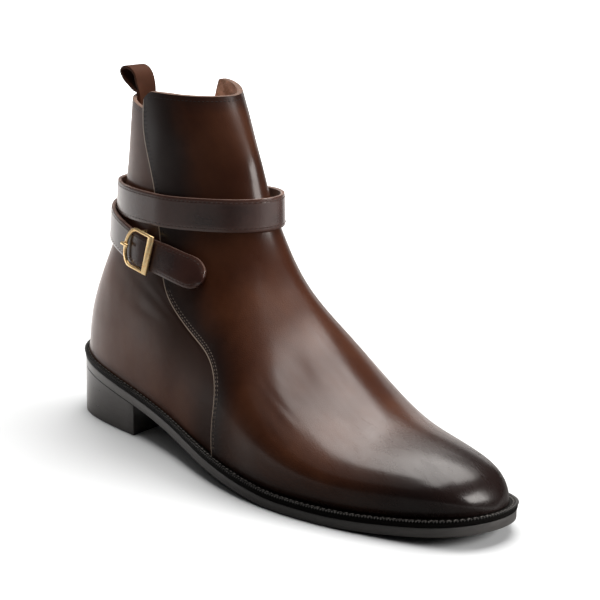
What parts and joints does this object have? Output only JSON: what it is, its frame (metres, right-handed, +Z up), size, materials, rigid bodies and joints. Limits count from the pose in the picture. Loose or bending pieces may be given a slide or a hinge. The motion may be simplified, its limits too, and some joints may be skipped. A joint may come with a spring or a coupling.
{
  "type": "strap boot",
  "caption": "Ankle boot for the right foot: hollow leather upper with a wound ankle strap and buckle, pull loop, welted leather sole and block heel.",
  "frame": {"origin": "middle of the bounding box in plan, on the floor plane that heel and forefoot stand on", "axes": "+X from heel to toe, +Y to the wearer's left (the medial side of this right boot), +Z up"},
  "size_m": [0.299, 0.1022, 0.1926],
  "materials": {
    "upper": "burnished, semi-gloss",
    "insole": "matte",
    "welt": "black wax",
    "outsole": "black edge paint",
    "heel": "black edge paint, polished",
    "strap": "burnished, semi-gloss",
    "buckle_frame": "polished",
    "buckle_prong": "polished",
    "pull_loop": "satin"
  },
  "bodies": {
    "root": {"upper": "upper", "insole": "insole", "welt": "welt", "outsole": "outsole", "heel": "heel", "strap": "strap", "buckle_frame": "buckle_frame", "buckle_prong": "buckle_prong", "pull_loop": "pull_loop"}
  },
  "joints": []
}
